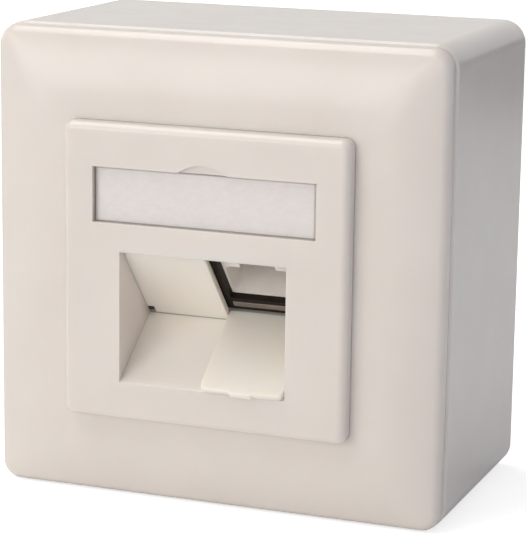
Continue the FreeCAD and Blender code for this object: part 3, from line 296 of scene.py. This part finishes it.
# Outline of the frame cut across: inset from the box's wall, place along the depth, corner radius.
profile = [
    (WALL_INSET + SEAM_CHAMFER, frame_back, SEAM_CORNER - SEAM_CHAMFER),
    (WALL_INSET, frame_back + SEAM_CHAMFER, SEAM_CORNER),
]
for step in range(EDGE_STEPS + 1):
    turn = EDGE_TURN * step / EDGE_STEPS
    inset = EDGE_ROUND * (1 - math.cos(turn))
    profile.append((WALL_INSET + inset, edge_start + EDGE_ROUND * math.sin(turn), FRAME_CORNER - inset))
for step in range(1, CROWN_STEPS + 1):
    share = step / CROWN_STEPS
    profile.append((
        edge_inset + (CROWN_WIDTH - edge_inset) * share,
        frame_flat - crown_rise * (1 - share) ** 2,
        edge_corner + (CROWN_CORNER - edge_corner) * share,
    ))
profile.append((WINDOW_INSET - WINDOW_EDGE_WIDTH, frame_flat, WINDOW_CORNER))
for step in range(WINDOW_EDGE_STEPS + 1):
    turn = RIGHT_ANGLE * step / WINDOW_EDGE_STEPS
    profile.append((
        WINDOW_INSET - WINDOW_EDGE_ROUND * (1 - math.sin(turn)),
        frame_flat - WINDOW_EDGE_ROUND * (1 - math.cos(turn)),
        WINDOW_CORNER,
    ))
profile += [
    (WINDOW_INSET, ledge, WINDOW_CORNER),
    (WINDOW_INSET + LEDGE_REACH, ledge, INNER_CORNER),
    (WINDOW_INSET + LEDGE_REACH, frame_back, INNER_CORNER),
    (WINDOW_INSET - WINDOW_WALL, frame_back, INNER_CORNER),
    (WINDOW_INSET - WINDOW_WALL, groove, INNER_CORNER),
    (RIM_WIDTH, groove, INNER_CORNER),
    (RIM_WIDTH, frame_back, INNER_CORNER),
    (SKIRT_INSET + SKIRT_WALL, frame_back, INNER_CORNER),
    (SKIRT_INSET + SKIRT_WALL, skirt_end, INNER_CORNER),
    (SKIRT_INSET, skirt_end, SKIRT_CORNER),
    (SKIRT_INSET, frame_back, SKIRT_CORNER),
]
cover_frame = skin("cover_frame", [
    rounded_loop(frame_high.x - inset, frame_high.z - inset, corner, forward)
    for inset, forward, corner in profile
])
cover_frame.data.materials.append(ivory)
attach(cover_frame, "base")
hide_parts("front_frame")

# Centre plate: the square with the label's pocket and the slanted recess of the ports.
# One ivory moulding, drawn against the ring by the screw behind the label.
# The floor of its recess is painted paler towards the ports: painted light that stands in for the light
# bouncing deep into the recess, as light as it looks in the photograph.
RECESS_HALF = 14.7 * MM
RECESS_LOW = -18.6 * MM
RECESS_HIGH = 3.7 * MM
RECESS_MARGIN = 0.1 * MM
RECESS_PAINTED_LIGHT = (0.90, 0.845, 0.775, 1)


def place_along(finish, axis):
    """Place on the piece along one of its axes."""
    tree = finish.node_tree
    place = tree.nodes.new("ShaderNodeTexCoord")
    split = tree.nodes.new("ShaderNodeSeparateXYZ")
    tree.links.new(place.outputs["Object"], split.inputs["Vector"])
    return split.outputs[axis]


def calculate(tree, operation, *terms):
    """Result of one step of arithmetic, whose terms are numbers or the results of other nodes."""
    node = tree.nodes.new("ShaderNodeMath")
    node.operation = operation
    for socket, term in zip(node.inputs, terms):
        if isinstance(term, bpy.types.NodeSocket):
            tree.links.new(term, socket)
        else:
            socket.default_value = term
    return node.outputs["Value"]


def outside_of(finish, axis, start, end):
    """One where a piece lies outside two places along an axis, and zero between them."""
    tree = finish.node_tree
    off_centre = calculate(tree, "SUBTRACT", place_along(finish, axis), (start + end) / 2)
    return calculate(tree, "GREATER_THAN", calculate(tree, "ABSOLUTE", off_centre), (end - start) / 2)


# Painted light: a copy of the ivory that grows paler with depth on the floor of the recess.
plate_ivory_painted_light = ivory.copy()
plate_ivory_painted_light.name = "plate_plastic_painted_light"
plate_tree = plate_ivory_painted_light.node_tree
floor_half = RECESS_HALF - RECESS_MARGIN
beyond_floor = calculate(
    plate_tree, "MAXIMUM",
    outside_of(plate_ivory_painted_light, "X", -floor_half, floor_half),
    outside_of(plate_ivory_painted_light, "Z", RECESS_LOW, RECESS_HIGH),
)
depth = plate_tree.nodes.new("ShaderNodeMapRange")
depth.inputs["From Min"].default_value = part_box("centre_plate")[0].y
depth.inputs["From Max"].default_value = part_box("hinge_pin")[0].y
plate_tree.links.new(place_along(plate_ivory_painted_light, "Y"), depth.inputs["Value"])
painted_light_share = calculate(plate_tree, "SUBTRACT", depth.outputs["Result"], beyond_floor)
painted_light_blend = plate_tree.nodes.new("ShaderNodeMixRGB")
plate_colour = shader_of(plate_ivory_painted_light).inputs["Base Color"]
plate_tree.links.new(calculate(plate_tree, "MAXIMUM", painted_light_share, 0.0), painted_light_blend.inputs["Fac"])
plate_tree.links.new(plate_colour.links[0].from_socket, painted_light_blend.inputs["Color1"])
painted_light_blend.inputs["Color2"].default_value = RECESS_PAINTED_LIGHT
plate_tree.links.new(painted_light_blend.outputs["Color"], plate_colour)
dress(plate_ivory_painted_light, "centre_plate")
shade_evenly("centre_plate")

# Hinge pin and dust flaps: two ivory shutters on one steel wire across the recess.
# Each flap is a thin moulding with a finger tongue, and its heel turns on the wire.
# The left one is shut, and the right one lies on the floor of the recess.
PORT_TILT = math.radians(42)
FLAP_GAP = 0.04 * MM
FLAP_HALF = 0.6 * MM
FLAP_LENGTH = 16.6 * MM
FLAP_HEEL = 0.62 * MM
FLAP_ROUND = 0.15 * MM
FLAP_END_ROUND = 0.4 * MM
FLAP_END_SLACK = 0.012 * MM
FLAP_CORNER = 1.2 * MM
NOTCH_WIDTH = 1.2 * MM
NOTCH_HEIGHT = 1.0 * MM
TONGUE_WIDTH = 4.4 * MM
TONGUE_REACH = 0.42 * MM
BLUNT_STEPS = 6
ROUND_STEPS = 4
ROUND_PROFILE = 0.5


def blunt(corner, before, after, radius):
    """Points of the arc that rounds a corner of an outline between its two neighbours."""
    corner = Vector(corner)
    start = corner + (Vector(before) - corner).normalized() * radius
    end = corner + (Vector(after) - corner).normalized() * radius
    centre = start + end - corner
    turns = [RIGHT_ANGLE * step / BLUNT_STEPS for step in range(BLUNT_STEPS + 1)]
    return [
        centre + (start - centre) * math.cos(turn) + (end - centre) * math.sin(turn)
        for turn in turns
    ]


def round_edges(form, edges, radius):
    """Rounds edges of a form, with smooth shading over the new faces."""
    rounded = bmesh.ops.bevel(
        form, geom=edges, offset=radius, segments=ROUND_STEPS, profile=ROUND_PROFILE, affect="EDGES"
    )
    for face in rounded["faces"]:
        face.smooth = True


def moulded_slab(name, outline, near, far, rounding, end_rounding=0.0, end_start=math.inf):
    """Flat moulding with an outline across X and Z, between two depths, and rounder past a height."""
    form = bmesh.new()
    front = [form.verts.new((x, near, z)) for x, z in outline]
    back = [form.verts.new((x, far, z)) for x, z in outline]
    form.faces.new(front)
    form.faces.new(back[::-1])
    for i, corner in enumerate(front):
        form.faces.new((front[i - 1], back[i - 1], back[i], corner))
    bmesh.ops.recalc_face_normals(form, faces=form.faces)
    end_rim = []
    for edge in form.edges:
        first, second = edge.verts
        if first.co.y == second.co.y and min(first.co.z, second.co.z) >= end_start:
            end_rim.append(edge)
    round_edges(form, end_rim, end_rounding)
    sharp_edges = [edge for edge in form.edges if edge.calc_face_angle() > SHARP_EDGE]
    round_edges(form, sharp_edges, rounding)
    mesh = bpy.data.meshes.new(name)
    form.to_mesh(mesh)
    form.free()
    return put_in_scene(name, mesh)


pin_low, pin_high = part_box("hinge_pin")
hinge = Matrix.Translation((0, (pin_low.y + pin_high.y) / 2, (pin_low.z + pin_high.z) / 2))
travel = math.radians(frame["joints"][0]["range_deg"][1])
flap_outer = RECESS_HALF - FLAP_GAP
flap_notch = flap_outer - NOTCH_WIDTH
flap_tip = FLAP_LENGTH + TONGUE_REACH
tongue_near = (RECESS_HALF - TONGUE_WIDTH) / 2
tongue_far = (RECESS_HALF + TONGUE_WIDTH) / 2
flap_outline = [
    (FLAP_GAP, -FLAP_HEEL),
    (flap_notch, -FLAP_HEEL),
    (flap_notch, NOTCH_HEIGHT),
    (flap_outer, NOTCH_HEIGHT),
    *blunt((flap_outer, FLAP_LENGTH), (flap_outer, 0), (0, FLAP_LENGTH), FLAP_CORNER),
    (tongue_far, FLAP_LENGTH),
    (tongue_far - TONGUE_REACH, flap_tip),
    (tongue_near + TONGUE_REACH, flap_tip),
    (tongue_near, FLAP_LENGTH),
    *blunt((FLAP_GAP, FLAP_LENGTH), (RECESS_HALF, FLAP_LENGTH), (FLAP_GAP, 0), FLAP_CORNER),
]
# Painted light: the flaps' ivory is paler than the plate's, standing in for the light they miss inside
# the recess.
flap_ivory_painted_light = new_finish("flap_plastic_painted_light")
tint(flap_ivory_painted_light, grain(flap_ivory_painted_light, 9 * MM), low=(0.858, 0.782, 0.698), high=(0.883, 0.808, 0.725))
polish(flap_ivory_painted_light, grain(flap_ivory_painted_light, 4 * MM), smooth=0.38, rough=0.46)
relief(flap_ivory_painted_light, grain(flap_ivory_painted_light, 0.35 * MM, detail=1.0), height=0.02 * MM, strength=0.12)
let_light_in(flap_ivory_painted_light, weight=0.6)
for name, side, lean in (("left_flap", -1, PORT_TILT), ("right_flap", 1, PORT_TILT + travel)):
    flap = moulded_slab(
        name + "_moulding", [(side * x, z) for x, z in flap_outline], -FLAP_HALF, FLAP_HALF, FLAP_ROUND,
        end_rounding=FLAP_END_ROUND, end_start=FLAP_LENGTH - FLAP_CORNER - FLAP_END_SLACK,
    )
    flap.data.transform(hinge @ Matrix.Rotation(lean, 4, "X"))
    flap.data.materials.append(flap_ivory_painted_light)
    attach(flap, name)
    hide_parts(name)

wire = new_metal("dark_wire")
tint(wire, grain(wire, 1 * MM), low=(0.05, 0.045, 0.04), high=(0.09, 0.08, 0.07))
polish(wire, grain(wire, 0.4 * MM), smooth=0.40, rough=0.55)
dress(wire, "hinge_pin")

# Lips of the shielded tubes: bent strips of nickel-plated sheet before the bezel, one under each port.
# They touch the plug's shield and show as a dull grey line in the black band above the flap.
LIP_LOW = 1.75 * MM
LIP_HIGH = 2.95 * MM
LIP_FRONT = 0.70 * MM
LIP_BACK = 0.92 * MM
LIP_NEAR = 1.1 * MM
LIP_FAR = 13.5 * MM
LIP_ROUND = 0.08 * MM
nickel = new_metal("nickel_sheet")
rolling = grain(nickel, 1 * MM, stretch=(6.0, 1.0, 1.0))
tint(nickel, rolling, low=(0.24, 0.20, 0.18), high=(0.34, 0.29, 0.26))
polish(nickel, grain(nickel, 0.5 * MM, stretch=(6.0, 1.0, 1.0)), smooth=0.38, rough=0.55)
for name, side in (("left_lip", -1), ("right_lip", 1)):
    near_end = side * LIP_NEAR
    far_end = side * LIP_FAR
    lip_outline = [(near_end, LIP_LOW), (far_end, LIP_LOW), (far_end, LIP_HIGH), (near_end, LIP_HIGH)]
    lip = moulded_slab(name, lip_outline, LIP_FRONT, LIP_BACK, LIP_ROUND)
    lip.data.transform(hinge @ Matrix.Rotation(PORT_TILT, 4, "X"))
    lip.data.materials.append(nickel)
    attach(lip, "base")

# Screw behind the label: a countersunk steel screw through the plate into the ring.
# Zinc plated like the ring; the label card covers its head.
dress(zinc, "centre_screw")

# Label: a white card on the floor of its pocket, under a clear moulded window.
# The card is plain paper, left bare; the window clips in, and a thin dark line round its edge is painted
# shade for the gap round the window.
SIDE_SHADE_WIDTH = 0.32 * MM
LONG_SHADE_WIDTH = 0.06 * MM
CLEAR_BODY = 0.14
CLEAR_SHADED_EDGE = 0.30
paper = new_finish("label_paper")
fibres = grain(paper, 0.6 * MM, detail=5.0, stretch=(2.0, 1.0, 1.0))
tint(paper, fibres, low=(0.82, 0.77, 0.74), high=(0.87, 0.815, 0.79))
polish(paper, grain(paper, 0.3 * MM), smooth=0.75, rough=0.9)
relief(paper, grain(paper, 0.2 * MM, detail=5.0), height=0.02 * MM, strength=0.3)
dress(paper, "label_card")

clear = new_finish("clear_plastic")
window_low, window_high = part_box("label_window")
# Painted shade: the rim of the window is painted dark and less clear, wider at the sides than at the top
# and bottom.
painted_edge_shade = calculate(
    clear.node_tree, "MAXIMUM",
    outside_of(clear, "X", window_low.x + SIDE_SHADE_WIDTH, window_high.x - SIDE_SHADE_WIDTH),
    outside_of(clear, "Z", window_low.z + LONG_SHADE_WIDTH, window_high.z - LONG_SHADE_WIDTH),
)
tint(clear, painted_edge_shade, low=(0.80, 0.81, 0.82), high=(0.14, 0.13, 0.13))
polish(clear, grain(clear, 4 * MM), smooth=0.06, rough=0.12)
density = between(clear, painted_edge_shade, CLEAR_BODY, CLEAR_SHADED_EDGE)
clear.node_tree.links.new(density, shader_of(clear).inputs["Alpha"])
dress(clear, "label_window")

# Floor: a wide pale sheet under the box that runs to the horizon and keeps a soft shadow.
# It glows a little where the eye sees it, less in gloss, and gives no light of its own to the box.
FLOOR_REACH = 6.0
FLOOR_WHITE = 0.92
FLOOR_GLOW = 0.62
FLOOR_GLOSS = 0.10


def background_level(tree, seen, mirrored, plain):
    """Level of the background as seen, as mirrored in gloss, and for rays that only carry light."""
    rays = tree.nodes.new("ShaderNodeLightPath").outputs
    seen_rays = calculate(tree, "MAXIMUM", rays["Is Camera Ray"], rays["Is Transmission Ray"])
    in_gloss = calculate(tree, "MULTIPLY_ADD", rays["Is Glossy Ray"], mirrored - plain, plain)
    return calculate(tree, "MULTIPLY_ADD", seen_rays, seen - plain, in_gloss)


sheet = new_finish("floor_sheet")
sheet_tree = sheet.node_tree
sheet_tree.nodes.remove(shader_of(sheet))
matt = sheet_tree.nodes.new("ShaderNodeBsdfDiffuse")
matt.inputs["Color"].default_value = (FLOOR_WHITE, FLOOR_WHITE, FLOOR_WHITE, 1)
glow = sheet_tree.nodes.new("ShaderNodeEmission")
both = sheet_tree.nodes.new("ShaderNodeAddShader")
sheet_tree.links.new(background_level(sheet_tree, FLOOR_GLOW, FLOOR_GLOSS, 0.0), glow.inputs["Strength"])
sheet_tree.links.new(matt.outputs["BSDF"], both.inputs[0])
sheet_tree.links.new(glow.outputs["Emission"], both.inputs[1])
sheet_tree.links.new(both.outputs["Shader"], sheet_tree.nodes["Material Output"].inputs["Surface"])
floor_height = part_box("surface_box")[0].z
bpy.ops.mesh.primitive_plane_add(size=FLOOR_REACH, location=(0, 0, floor_height))
floor = bpy.context.object
floor.name = "floor"
floor.data.materials.append(sheet)

# Studio light: a large softbox on the left in front, a long one overhead and a small one on the right.
# A cool one stands at the side, as a window would, and one far behind lights the back of the box.
# Pale air all round fills the shadows; the eye sees it as plain white.
AIR_SEEN = 1.0
AIR_GLOSS = 0.80
AIR_LIGHT = 0.29
WARM_WHITE = (1.0, 0.985, 0.97)
FILL_WHITE = (1.0, 0.985, 0.96)
WINDOW_BLUE = (0.30, 0.51, 1.0)
PLAIN_WHITE = (1.0, 1.0, 1.0)
world = bpy.data.worlds.new("studio")
bpy.context.scene.world = world
world.use_nodes = True
air_tree = world.node_tree
background = air_tree.nodes["Background"]
background.inputs["Color"].default_value = (*PLAIN_WHITE, 1)
air_level = background_level(air_tree, AIR_SEEN, AIR_GLOSS, AIR_LIGHT)
air_tree.links.new(air_level, background.inputs["Strength"])


def softbox(name, colour, watts, size, place, aim):
    """Soft lamp with a width and a length that looks at a point."""
    lamp = bpy.data.lights.new(name, "AREA")
    lamp.shape = "RECTANGLE"
    lamp.size, lamp.size_y = size
    lamp.energy = watts
    lamp.color = colour
    holder = put_in_scene(name, lamp)
    holder.location = place
    holder.rotation_euler = (Vector(aim) - Vector(place)).to_track_quat("-Z", "Y").to_euler()


middle = Vector((0, -22 * MM, 0))
softbox("key_softbox", WARM_WHITE, watts=7.2, size=(1.0, 1.0), place=(-0.46, -1.12, 0.14), aim=middle)
softbox(
    "ceiling_softbox", WARM_WHITE, watts=6.2, size=(0.4, 1.2),
    place=(-0.35, -0.25, 0.92), aim=(-0.35, -0.25, 0),
)
softbox("fill_softbox", FILL_WHITE, watts=1.5, size=(0.6, 0.6), place=(0.46, -1.05, 0.16), aim=middle)
softbox("side_softbox", WINDOW_BLUE, watts=1.45, size=(0.7, 0.7), place=(1.10, -0.06, 0.06), aim=middle)
softbox("back_softbox", PLAIN_WHITE, watts=2.6, size=(0.5, 0.5), place=(-0.95, 0.85, 0.18), aim=middle)

# Dark card: a low strip of dark board that stands on the floor behind the box, on the right.
# Only gloss sees it: it darkens the upper part of the side wall, as the far edge of a table would.
CARD_DISTANCE = 0.42
CARD_LEFT = 0.04
CARD_RIGHT = 0.60
CARD_TOP = 0.06
card_finish = new_finish("dark_board")
tint(card_finish, grain(card_finish, 5 * MM), low=(0.16, 0.145, 0.13), high=(0.20, 0.18, 0.165))
polish(card_finish, grain(card_finish, 2 * MM), smooth=0.8, rough=0.95)
card_mesh = bpy.data.meshes.new("dark_card")
card_corners = [
    (CARD_LEFT, CARD_DISTANCE, floor_height),
    (CARD_RIGHT, CARD_DISTANCE, floor_height),
    (CARD_RIGHT, CARD_DISTANCE, CARD_TOP),
    (CARD_LEFT, CARD_DISTANCE, CARD_TOP),
]
card_mesh.from_pydata(card_corners, [], [(0, 1, 2, 3)])
card_mesh.materials.append(card_finish)
card = put_in_scene("dark_card", card_mesh)
card.visible_camera = False
card.visible_diffuse = False
card.visible_shadow = False

# Camera: a long lens to the right of the front and a little above, as the outlet was photographed.
# It aims a little beside the middle of the box, so that the box fills the picture in the same way.
VIEW_TURN = math.radians(20.83)
VIEW_RISE = math.radians(12.22)
VIEW_TILT = math.radians(0.81)
VIEW_DISTANCE = 407.0 * MM
VIEW_SHIFT_RIGHT = 0.24 * MM
VIEW_SHIFT_UP = -2.83 * MM
FOCAL_LENGTH = 157.74
NEAR_LIMIT = 10 * MM
towards = Vector((
    math.sin(VIEW_TURN) * math.cos(VIEW_RISE),
    -math.cos(VIEW_TURN) * math.cos(VIEW_RISE),
    math.sin(VIEW_RISE),
))
level_right = (-towards).cross(Vector((0, 0, 1))).normalized()
level_up = level_right.cross(-towards)
right = math.cos(VIEW_TILT) * level_right + math.sin(VIEW_TILT) * level_up
up = -math.sin(VIEW_TILT) * level_right + math.cos(VIEW_TILT) * level_up
target = middle + VIEW_SHIFT_RIGHT * level_right + VIEW_SHIFT_UP * level_up
turned = Matrix((right, up, towards)).transposed().to_4x4()
lens = bpy.data.cameras.new("camera")
lens.lens = FOCAL_LENGTH
lens.clip_start = NEAR_LIMIT
camera = put_in_scene("camera", lens)
camera.matrix_world = Matrix.Translation(target + VIEW_DISTANCE * towards) @ turned
bpy.context.scene.camera = camera
bpy.context.scene.view_settings.view_transform = "Standard"
